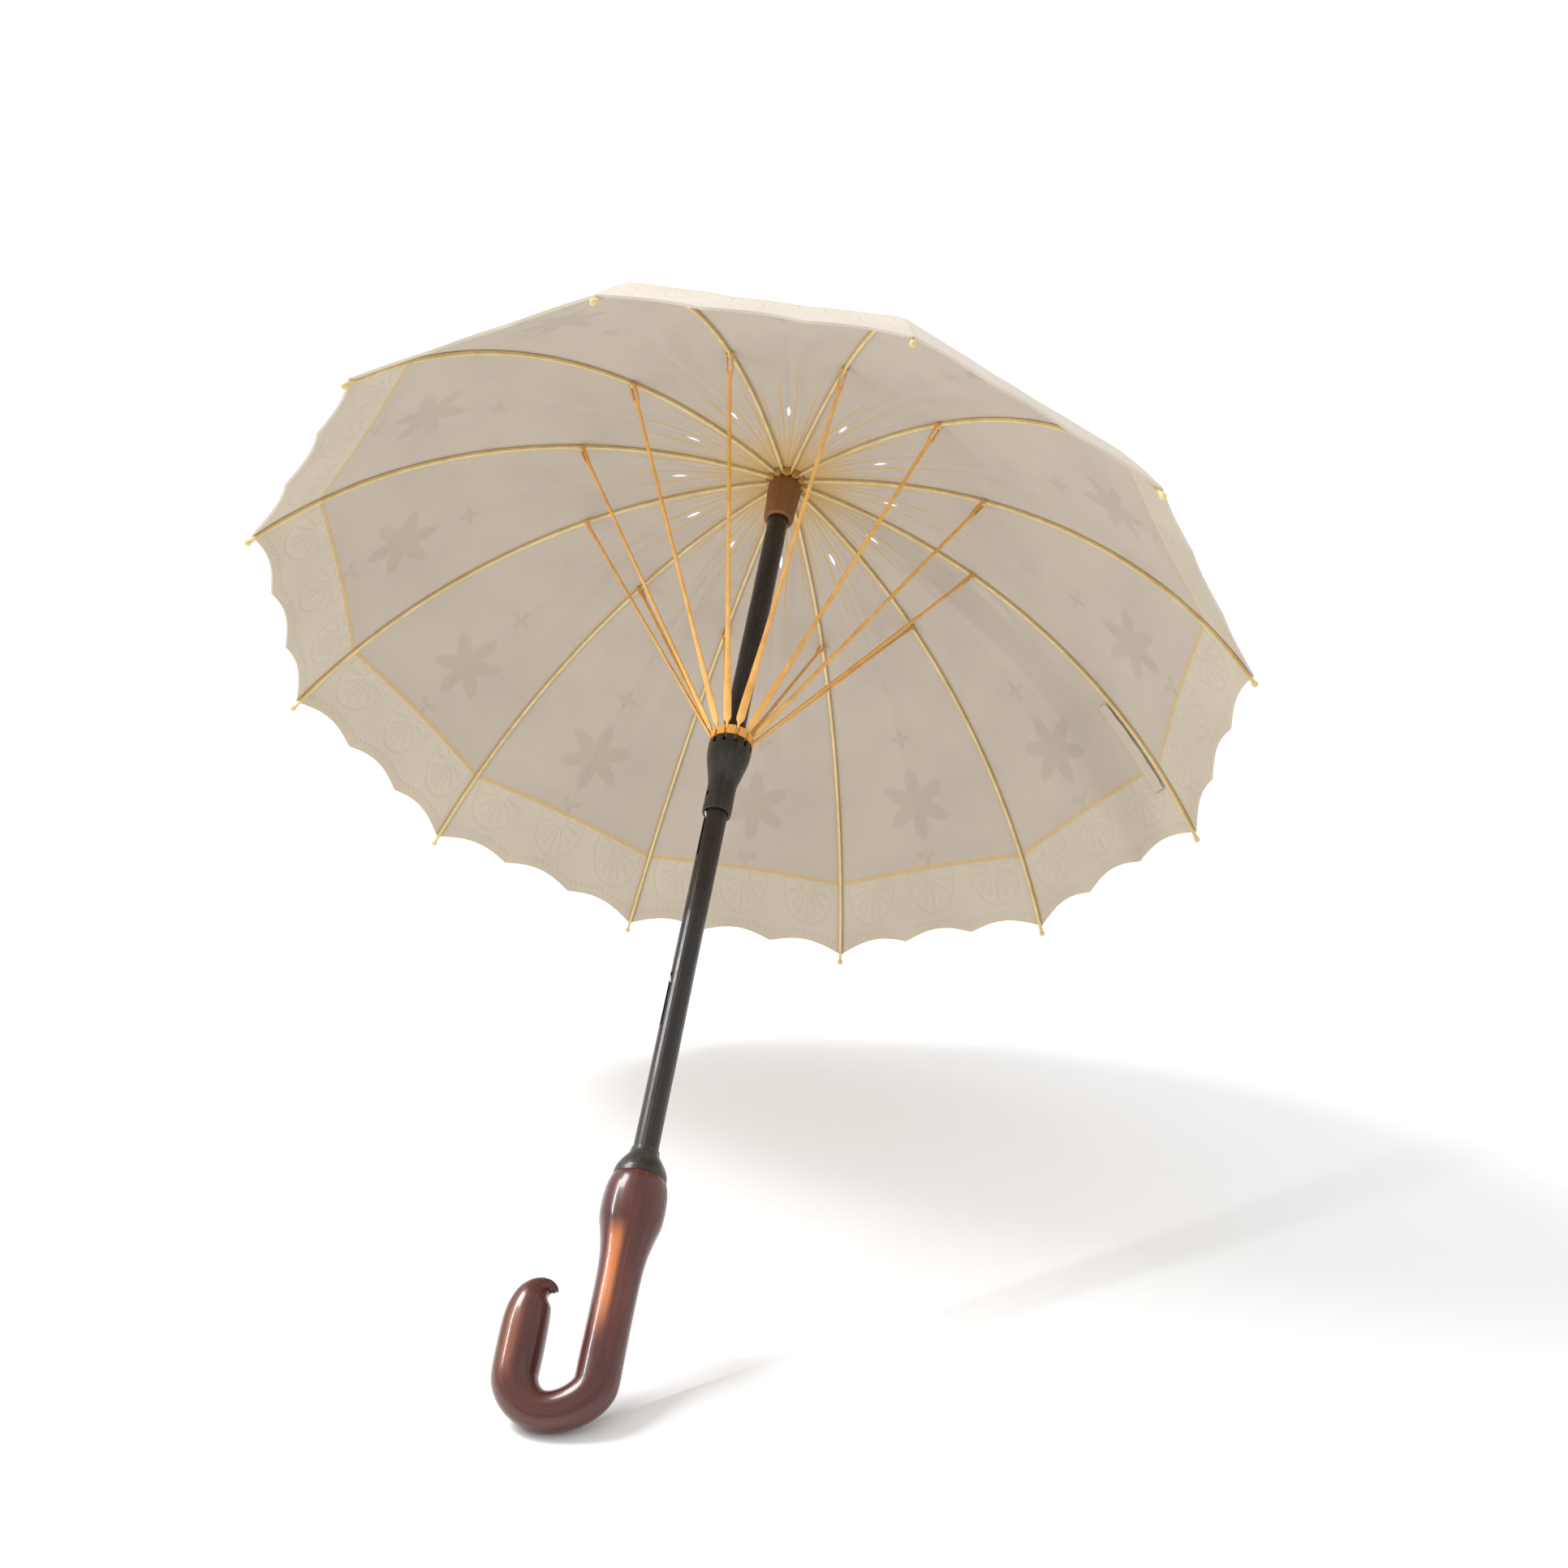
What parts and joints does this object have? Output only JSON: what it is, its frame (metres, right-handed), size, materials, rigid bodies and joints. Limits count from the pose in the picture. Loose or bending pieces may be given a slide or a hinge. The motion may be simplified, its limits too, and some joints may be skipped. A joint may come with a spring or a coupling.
{
  "type": "parasol",
  "caption": "Open cream cotton parasol with a scalloped lace hem, curved wooden ribs, sliding runner, dark shaft and a crook handle.",
  "frame": {"origin": "on the shaft axis in the middle of the grip", "axes": "+Z along the shaft from the grip to the finial; the crook bends towards -X"},
  "size_m": [0.7226, 0.7226, 0.8199],
  "materials": {
    "shaft_black": "gloss",
    "handle_wood": "gloss",
    "collar_dark": "gloss",
    "cup_wood": "satin",
    "hub_gold": "satin",
    "cap_cloth": "matte",
    "finial_wood": "gloss",
    "runner_dark": "gloss",
    "crown_orange": "satin",
    "catch_steel": "satin",
    "strap_cotton": "matte",
    "rib_wood": "satin",
    "stretcher_wood": "satin",
    "canopy_cotton": "matte"
  },
  "bodies": {
    "stem": {"shaft": "shaft_black", "handle": "handle_wood", "handle_collar": "collar_dark", "notch_cup": "cup_wood", "rib_hub": "hub_gold", "top_cap": "cap_cloth", "finial": "finial_wood"},
    "runner_set": {"runner": "runner_dark", "runner_crown": "crown_orange"},
    "top_spring": {"top_catch": "catch_steel"},
    "bottom_spring": {"bottom_catch": "catch_steel"},
    "rib_01_set": {"rib_01": "rib_wood"},
    "stretcher_01_set": {"stretcher_01": "stretcher_wood"},
    "gore_01_a_set": {"gore_01_a": "canopy_cotton", "tie_strap": "strap_cotton"},
    "gore_01_b_set": {"gore_01_b": "canopy_cotton"},
    "rib_02_set": {"rib_02": "rib_wood"},
    "stretcher_02_set": {"stretcher_02": "stretcher_wood"},
    "gore_02_a_set": {"gore_02_a": "canopy_cotton"},
    "gore_02_b_set": {"gore_02_b": "canopy_cotton"},
    "rib_03_set": {"rib_03": "rib_wood"},
    "stretcher_03_set": {"stretcher_03": "stretcher_wood"},
    "gore_03_a_set": {"gore_03_a": "canopy_cotton"},
    "gore_03_b_set": {"gore_03_b": "canopy_cotton"},
    "rib_04_set": {"rib_04": "rib_wood"},
    "stretcher_04_set": {"stretcher_04": "stretcher_wood"},
    "gore_04_a_set": {"gore_04_a": "canopy_cotton"},
    "gore_04_b_set": {"gore_04_b": "canopy_cotton"},
    "rib_05_set": {"rib_05": "rib_wood"},
    "stretcher_05_set": {"stretcher_05": "stretcher_wood"},
    "gore_05_a_set": {"gore_05_a": "canopy_cotton"},
    "gore_05_b_set": {"gore_05_b": "canopy_cotton"},
    "rib_06_set": {"rib_06": "rib_wood"},
    "stretcher_06_set": {"stretcher_06": "stretcher_wood"},
    "gore_06_a_set": {"gore_06_a": "canopy_cotton"},
    "gore_06_b_set": {"gore_06_b": "canopy_cotton"},
    "rib_07_set": {"rib_07": "rib_wood"},
    "stretcher_07_set": {"stretcher_07": "stretcher_wood"},
    "gore_07_a_set": {"gore_07_a": "canopy_cotton"},
    "gore_07_b_set": {"gore_07_b": "canopy_cotton"},
    "rib_08_set": {"rib_08": "rib_wood"},
    "stretcher_08_set": {"stretcher_08": "stretcher_wood"},
    "gore_08_a_set": {"gore_08_a": "canopy_cotton"},
    "gore_08_b_set": {"gore_08_b": "canopy_cotton"},
    "rib_09_set": {"rib_09": "rib_wood"},
    "stretcher_09_set": {"stretcher_09": "stretcher_wood"},
    "gore_09_a_set": {"gore_09_a": "canopy_cotton"},
    "gore_09_b_set": {"gore_09_b": "canopy_cotton"},
    "rib_10_set": {"rib_10": "rib_wood"},
    "stretcher_10_set": {"stretcher_10": "stretcher_wood"},
    "gore_10_a_set": {"gore_10_a": "canopy_cotton"},
    "gore_10_b_set": {"gore_10_b": "canopy_cotton"},
    "rib_11_set": {"rib_11": "rib_wood"},
    "stretcher_11_set": {"stretcher_11": "stretcher_wood"},
    "gore_11_a_set": {"gore_11_a": "canopy_cotton"},
    "gore_11_b_set": {"gore_11_b": "canopy_cotton"},
    "rib_12_set": {"rib_12": "rib_wood"},
    "stretcher_12_set": {"stretcher_12": "stretcher_wood"},
    "gore_12_a_set": {"gore_12_a": "canopy_cotton"},
    "gore_12_b_set": {"gore_12_b": "canopy_cotton"}
  },
  "joints": [
    {"name": "runner_slide", "type": "slide", "parent": "stem", "child": "runner_set", "axis": [0, 0, -1], "range_m": [0, 0.1488]},
    {"name": "top_catch_press", "type": "hinge", "parent": "stem", "child": "top_spring", "pos_m": [-0.00377, -0.00264, 0.3102], "axis": [-0.5736, 0.8192, 0], "range_deg": [0, 1.5], "stiffness_Nm_per_rad": 1},
    {"name": "bottom_catch_press", "type": "hinge", "parent": "stem", "child": "bottom_spring", "pos_m": [-0.00377, -0.00264, 0.1764], "axis": [-0.5736, 0.8192, 0], "range_deg": [0, 1.5], "stiffness_Nm_per_rad": 1},
    {"name": "rib_01_fold", "type": "hinge", "parent": "stem", "child": "rib_01_set", "pos_m": [0.01128, 0.0041, 0.6724], "axis": [-0.342, 0.9397, 0], "range_deg": [0, 57]},
    {"name": "stretcher_01_fold", "type": "hinge", "parent": "rib_01_set", "child": "stretcher_01_set", "pos_m": [0.15171, 0.05522, 0.63804], "axis": [-0.342, 0.9397, 0], "range_deg": [-79.2, 0]},
    {"name": "gore_01_a_pleat", "type": "hinge", "parent": "rib_01_set", "child": "gore_01_a_set", "pos_m": [0.01074, 0.00559, 0.6724], "axis": [-0.2782, -0.9089, -0.3107], "range_deg": [0, 17.6], "deforming": ["gore_01_a", "tie_strap"]},
    {"name": "gore_01_b_pleat", "type": "hinge", "parent": "rib_01_set", "child": "gore_01_b_set", "pos_m": [0.01182, 0.00262, 0.6724], "axis": [0.7973, -0.5175, 0.3107], "range_deg": [0, 17.6], "deforming": ["gore_01_b"]},
    {"name": "rib_02_fold", "type": "hinge", "parent": "stem", "child": "rib_02_set", "pos_m": [0.00771, 0.00919, 0.6724], "axis": [-0.766, 0.6428, 0], "range_deg": [0, 57]},
    {"name": "stretcher_02_fold", "type": "hinge", "parent": "rib_02_set", "child": "stretcher_02_set", "pos_m": [0.10378, 0.12368, 0.63804], "axis": [-0.766, 0.6428, 0], "range_deg": [-79.2, 0]},
    {"name": "gore_02_a_pleat", "type": "hinge", "parent": "rib_02_set", "child": "gore_02_a_set", "pos_m": [0.0065, 0.01021, 0.6724], "axis": [0.2136, -0.9262, -0.3107], "range_deg": [0, 17.6], "deforming": ["gore_02_a"]},
    {"name": "gore_02_b_pleat", "type": "hinge", "parent": "rib_02_set", "child": "gore_02_b_set", "pos_m": [0.00892, 0.00818, 0.6724], "axis": [0.9492, -0.0495, 0.3107], "range_deg": [0, 17.6], "deforming": ["gore_02_b"]},
    {"name": "rib_03_fold", "type": "hinge", "parent": "stem", "child": "rib_03_set", "pos_m": [0.00208, 0.01182, 0.6724], "axis": [-0.9848, 0.1736, 0], "range_deg": [0, 57]},
    {"name": "stretcher_03_fold", "type": "hinge", "parent": "rib_03_set", "child": "stretcher_03_set", "pos_m": [0.02804, 0.159, 0.63804], "axis": [-0.9848, 0.1736, 0], "range_deg": [-79.2, 0]},
    {"name": "gore_03_a_pleat", "type": "hinge", "parent": "rib_03_set", "child": "gore_03_a_set", "pos_m": [0.00053, 0.01209, 0.6724], "axis": [0.6481, -0.6953, -0.3107], "range_deg": [0, 17.6], "deforming": ["gore_03_a"]},
    {"name": "gore_03_b_pleat", "type": "hinge", "parent": "rib_03_set", "child": "gore_03_b_set", "pos_m": [0.00364, 0.01154, 0.6724], "axis": [0.8468, 0.4318, 0.3107], "range_deg": [0, 17.6], "deforming": ["gore_03_b"]},
    {"name": "rib_04_fold", "type": "hinge", "parent": "stem", "child": "rib_04_set", "pos_m": [-0.0041, 0.01128, 0.6724], "axis": [-0.9397, -0.342, 0], "range_deg": [0, 57]},
    {"name": "stretcher_04_fold", "type": "hinge", "parent": "rib_04_set", "child": "stretcher_04_set", "pos_m": [-0.05522, 0.15171, 0.63804], "axis": [-0.9397, -0.342, 0], "range_deg": [-79.2, 0]},
    {"name": "gore_04_a_pleat", "type": "hinge", "parent": "rib_04_set", "child": "gore_04_a_set", "pos_m": [-0.00559, 0.01074, 0.6724], "axis": [0.9089, -0.2782, -0.3107], "range_deg": [0, 17.6], "deforming": ["gore_04_a"]},
    {"name": "gore_04_b_pleat", "type": "hinge", "parent": "rib_04_set", "child": "gore_04_b_set", "pos_m": [-0.00262, 0.01182, 0.6724], "axis": [0.5175, 0.7973, 0.3107], "range_deg": [0, 17.6], "deforming": ["gore_04_b"]},
    {"name": "rib_05_fold", "type": "hinge", "parent": "stem", "child": "rib_05_set", "pos_m": [-0.00919, 0.00771, 0.6724], "axis": [-0.6428, -0.766, 0], "range_deg": [0, 57]},
    {"name": "stretcher_05_fold", "type": "hinge", "parent": "rib_05_set", "child": "stretcher_05_set", "pos_m": [-0.12368, 0.10378, 0.63804], "axis": [-0.6428, -0.766, 0], "range_deg": [-79.2, 0]},
    {"name": "gore_05_a_pleat", "type": "hinge", "parent": "rib_05_set", "child": "gore_05_a_set", "pos_m": [-0.01021, 0.0065, 0.6724], "axis": [0.9262, 0.2136, -0.3107], "range_deg": [0, 17.6], "deforming": ["gore_05_a"]},
    {"name": "gore_05_b_pleat", "type": "hinge", "parent": "rib_05_set", "child": "gore_05_b_set", "pos_m": [-0.00818, 0.00892, 0.6724], "axis": [0.0495, 0.9492, 0.3107], "range_deg": [0, 17.6], "deforming": ["gore_05_b"]},
    {"name": "rib_06_fold", "type": "hinge", "parent": "stem", "child": "rib_06_set", "pos_m": [-0.01182, 0.00208, 0.6724], "axis": [-0.1736, -0.9848, 0], "range_deg": [0, 57]},
    {"name": "stretcher_06_fold", "type": "hinge", "parent": "rib_06_set", "child": "stretcher_06_set", "pos_m": [-0.159, 0.02804, 0.63804], "axis": [-0.1736, -0.9848, 0], "range_deg": [-79.2, 0]},
    {"name": "gore_06_a_pleat", "type": "hinge", "parent": "rib_06_set", "child": "gore_06_a_set", "pos_m": [-0.01209, 0.00053, 0.6724], "axis": [0.6953, 0.6481, -0.3107], "range_deg": [0, 17.6], "deforming": ["gore_06_a"]},
    {"name": "gore_06_b_pleat", "type": "hinge", "parent": "rib_06_set", "child": "gore_06_b_set", "pos_m": [-0.01154, 0.00364, 0.6724], "axis": [-0.4318, 0.8468, 0.3107], "range_deg": [0, 17.6], "deforming": ["gore_06_b"]},
    {"name": "rib_07_fold", "type": "hinge", "parent": "stem", "child": "rib_07_set", "pos_m": [-0.01128, -0.0041, 0.6724], "axis": [0.342, -0.9397, 0], "range_deg": [0, 57]},
    {"name": "stretcher_07_fold", "type": "hinge", "parent": "rib_07_set", "child": "stretcher_07_set", "pos_m": [-0.15171, -0.05522, 0.63804], "axis": [0.342, -0.9397, 0], "range_deg": [-79.2, 0]},
    {"name": "gore_07_a_pleat", "type": "hinge", "parent": "rib_07_set", "child": "gore_07_a_set", "pos_m": [-0.01074, -0.00559, 0.6724], "axis": [0.2782, 0.9089, -0.3107], "range_deg": [0, 17.6], "deforming": ["gore_07_a"]},
    {"name": "gore_07_b_pleat", "type": "hinge", "parent": "rib_07_set", "child": "gore_07_b_set", "pos_m": [-0.01182, -0.00262, 0.6724], "axis": [-0.7973, 0.5175, 0.3107], "range_deg": [0, 17.6], "deforming": ["gore_07_b"]},
    {"name": "rib_08_fold", "type": "hinge", "parent": "stem", "child": "rib_08_set", "pos_m": [-0.00771, -0.00919, 0.6724], "axis": [0.766, -0.6428, 0], "range_deg": [0, 57]},
    {"name": "stretcher_08_fold", "type": "hinge", "parent": "rib_08_set", "child": "stretcher_08_set", "pos_m": [-0.10378, -0.12368, 0.63804], "axis": [0.766, -0.6428, 0], "range_deg": [-79.2, 0]},
    {"name": "gore_08_a_pleat", "type": "hinge", "parent": "rib_08_set", "child": "gore_08_a_set", "pos_m": [-0.0065, -0.01021, 0.6724], "axis": [-0.2136, 0.9262, -0.3107], "range_deg": [0, 17.6], "deforming": ["gore_08_a"]},
    {"name": "gore_08_b_pleat", "type": "hinge", "parent": "rib_08_set", "child": "gore_08_b_set", "pos_m": [-0.00892, -0.00818, 0.6724], "axis": [-0.9492, 0.0495, 0.3107], "range_deg": [0, 17.6], "deforming": ["gore_08_b"]},
    {"name": "rib_09_fold", "type": "hinge", "parent": "stem", "child": "rib_09_set", "pos_m": [-0.00208, -0.01182, 0.6724], "axis": [0.9848, -0.1736, 0], "range_deg": [0, 57]},
    {"name": "stretcher_09_fold", "type": "hinge", "parent": "rib_09_set", "child": "stretcher_09_set", "pos_m": [-0.02804, -0.159, 0.63804], "axis": [0.9848, -0.1736, 0], "range_deg": [-79.2, 0]},
    {"name": "gore_09_a_pleat", "type": "hinge", "parent": "rib_09_set", "child": "gore_09_a_set", "pos_m": [-0.00053, -0.01209, 0.6724], "axis": [-0.6481, 0.6953, -0.3107], "range_deg": [0, 17.6], "deforming": ["gore_09_a"]},
    {"name": "gore_09_b_pleat", "type": "hinge", "parent": "rib_09_set", "child": "gore_09_b_set", "pos_m": [-0.00364, -0.01154, 0.6724], "axis": [-0.8468, -0.4318, 0.3107], "range_deg": [0, 17.6], "deforming": ["gore_09_b"]},
    {"name": "rib_10_fold", "type": "hinge", "parent": "stem", "child": "rib_10_set", "pos_m": [0.0041, -0.01128, 0.6724], "axis": [0.9397, 0.342, 0], "range_deg": [0, 57]},
    {"name": "stretcher_10_fold", "type": "hinge", "parent": "rib_10_set", "child": "stretcher_10_set", "pos_m": [0.05522, -0.15171, 0.63804], "axis": [0.9397, 0.342, 0], "range_deg": [-79.2, 0]},
    {"name": "gore_10_a_pleat", "type": "hinge", "parent": "rib_10_set", "child": "gore_10_a_set", "pos_m": [0.00559, -0.01074, 0.6724], "axis": [-0.9089, 0.2782, -0.3107], "range_deg": [0, 17.6], "deforming": ["gore_10_a"]},
    {"name": "gore_10_b_pleat", "type": "hinge", "parent": "rib_10_set", "child": "gore_10_b_set", "pos_m": [0.00262, -0.01182, 0.6724], "axis": [-0.5175, -0.7973, 0.3107], "range_deg": [0, 17.6], "deforming": ["gore_10_b"]},
    {"name": "rib_11_fold", "type": "hinge", "parent": "stem", "child": "rib_11_set", "pos_m": [0.00919, -0.00771, 0.6724], "axis": [0.6428, 0.766, 0], "range_deg": [0, 57]},
    {"name": "stretcher_11_fold", "type": "hinge", "parent": "rib_11_set", "child": "stretcher_11_set", "pos_m": [0.12368, -0.10378, 0.63804], "axis": [0.6428, 0.766, 0], "range_deg": [-79.2, 0]},
    {"name": "gore_11_a_pleat", "type": "hinge", "parent": "rib_11_set", "child": "gore_11_a_set", "pos_m": [0.01021, -0.0065, 0.6724], "axis": [-0.9262, -0.2136, -0.3107], "range_deg": [0, 17.6], "deforming": ["gore_11_a"]},
    {"name": "gore_11_b_pleat", "type": "hinge", "parent": "rib_11_set", "child": "gore_11_b_set", "pos_m": [0.00818, -0.00892, 0.6724], "axis": [-0.0495, -0.9492, 0.3107], "range_deg": [0, 17.6], "deforming": ["gore_11_b"]},
    {"name": "rib_12_fold", "type": "hinge", "parent": "stem", "child": "rib_12_set", "pos_m": [0.01182, -0.00208, 0.6724], "axis": [0.1736, 0.9848, 0], "range_deg": [0, 57]},
    {"name": "stretcher_12_fold", "type": "hinge", "parent": "rib_12_set", "child": "stretcher_12_set", "pos_m": [0.159, -0.02804, 0.63804], "axis": [0.1736, 0.9848, 0], "range_deg": [-79.2, 0]},
    {"name": "gore_12_a_pleat", "type": "hinge", "parent": "rib_12_set", "child": "gore_12_a_set", "pos_m": [0.01209, -0.00053, 0.6724], "axis": [-0.6953, -0.6481, -0.3107], "range_deg": [0, 17.6], "deforming": ["gore_12_a"]},
    {"name": "gore_12_b_pleat", "type": "hinge", "parent": "rib_12_set", "child": "gore_12_b_set", "pos_m": [0.01154, -0.00364, 0.6724], "axis": [0.4318, -0.8468, 0.3107], "range_deg": [0, 17.6], "deforming": ["gore_12_b"]}
  ],
  "couplings": [
    {"joint": "rib_01_fold", "follows": "runner_slide", "rad_per_m": 6.6815},
    {"joint": "stretcher_01_fold", "follows": "runner_slide", "rad_per_m": -9.276},
    {"joint": "gore_01_a_pleat", "follows": "runner_slide", "rad_per_m": 2.0533},
    {"joint": "gore_01_b_pleat", "follows": "runner_slide", "rad_per_m": 2.0533},
    {"joint": "rib_02_fold", "follows": "runner_slide", "rad_per_m": 6.6815},
    {"joint": "stretcher_02_fold", "follows": "runner_slide", "rad_per_m": -9.276},
    {"joint": "gore_02_a_pleat", "follows": "runner_slide", "rad_per_m": 2.0533},
    {"joint": "gore_02_b_pleat", "follows": "runner_slide", "rad_per_m": 2.0533},
    {"joint": "rib_03_fold", "follows": "runner_slide", "rad_per_m": 6.6815},
    {"joint": "stretcher_03_fold", "follows": "runner_slide", "rad_per_m": -9.276},
    {"joint": "gore_03_a_pleat", "follows": "runner_slide", "rad_per_m": 2.0533},
    {"joint": "gore_03_b_pleat", "follows": "runner_slide", "rad_per_m": 2.0533},
    {"joint": "rib_04_fold", "follows": "runner_slide", "rad_per_m": 6.6815},
    {"joint": "stretcher_04_fold", "follows": "runner_slide", "rad_per_m": -9.276},
    {"joint": "gore_04_a_pleat", "follows": "runner_slide", "rad_per_m": 2.0533},
    {"joint": "gore_04_b_pleat", "follows": "runner_slide", "rad_per_m": 2.0533},
    {"joint": "rib_05_fold", "follows": "runner_slide", "rad_per_m": 6.6815},
    {"joint": "stretcher_05_fold", "follows": "runner_slide", "rad_per_m": -9.276},
    {"joint": "gore_05_a_pleat", "follows": "runner_slide", "rad_per_m": 2.0533},
    {"joint": "gore_05_b_pleat", "follows": "runner_slide", "rad_per_m": 2.0533},
    {"joint": "rib_06_fold", "follows": "runner_slide", "rad_per_m": 6.6815},
    {"joint": "stretcher_06_fold", "follows": "runner_slide", "rad_per_m": -9.276},
    {"joint": "gore_06_a_pleat", "follows": "runner_slide", "rad_per_m": 2.0533},
    {"joint": "gore_06_b_pleat", "follows": "runner_slide", "rad_per_m": 2.0533},
    {"joint": "rib_07_fold", "follows": "runner_slide", "rad_per_m": 6.6815},
    {"joint": "stretcher_07_fold", "follows": "runner_slide", "rad_per_m": -9.276},
    {"joint": "gore_07_a_pleat", "follows": "runner_slide", "rad_per_m": 2.0533},
    {"joint": "gore_07_b_pleat", "follows": "runner_slide", "rad_per_m": 2.0533},
    {"joint": "rib_08_fold", "follows": "runner_slide", "rad_per_m": 6.6815},
    {"joint": "stretcher_08_fold", "follows": "runner_slide", "rad_per_m": -9.276},
    {"joint": "gore_08_a_pleat", "follows": "runner_slide", "rad_per_m": 2.0533},
    {"joint": "gore_08_b_pleat", "follows": "runner_slide", "rad_per_m": 2.0533},
    {"joint": "rib_09_fold", "follows": "runner_slide", "rad_per_m": 6.6815},
    {"joint": "stretcher_09_fold", "follows": "runner_slide", "rad_per_m": -9.276},
    {"joint": "gore_09_a_pleat", "follows": "runner_slide", "rad_per_m": 2.0533},
    {"joint": "gore_09_b_pleat", "follows": "runner_slide", "rad_per_m": 2.0533},
    {"joint": "rib_10_fold", "follows": "runner_slide", "rad_per_m": 6.6815},
    {"joint": "stretcher_10_fold", "follows": "runner_slide", "rad_per_m": -9.276},
    {"joint": "gore_10_a_pleat", "follows": "runner_slide", "rad_per_m": 2.0533},
    {"joint": "gore_10_b_pleat", "follows": "runner_slide", "rad_per_m": 2.0533},
    {"joint": "rib_11_fold", "follows": "runner_slide", "rad_per_m": 6.6815},
    {"joint": "stretcher_11_fold", "follows": "runner_slide", "rad_per_m": -9.276},
    {"joint": "gore_11_a_pleat", "follows": "runner_slide", "rad_per_m": 2.0533},
    {"joint": "gore_11_b_pleat", "follows": "runner_slide", "rad_per_m": 2.0533},
    {"joint": "rib_12_fold", "follows": "runner_slide", "rad_per_m": 6.6815},
    {"joint": "stretcher_12_fold", "follows": "runner_slide", "rad_per_m": -9.276},
    {"joint": "gore_12_a_pleat", "follows": "runner_slide", "rad_per_m": 2.0533},
    {"joint": "gore_12_b_pleat", "follows": "runner_slide", "rad_per_m": 2.0533}
  ]
}
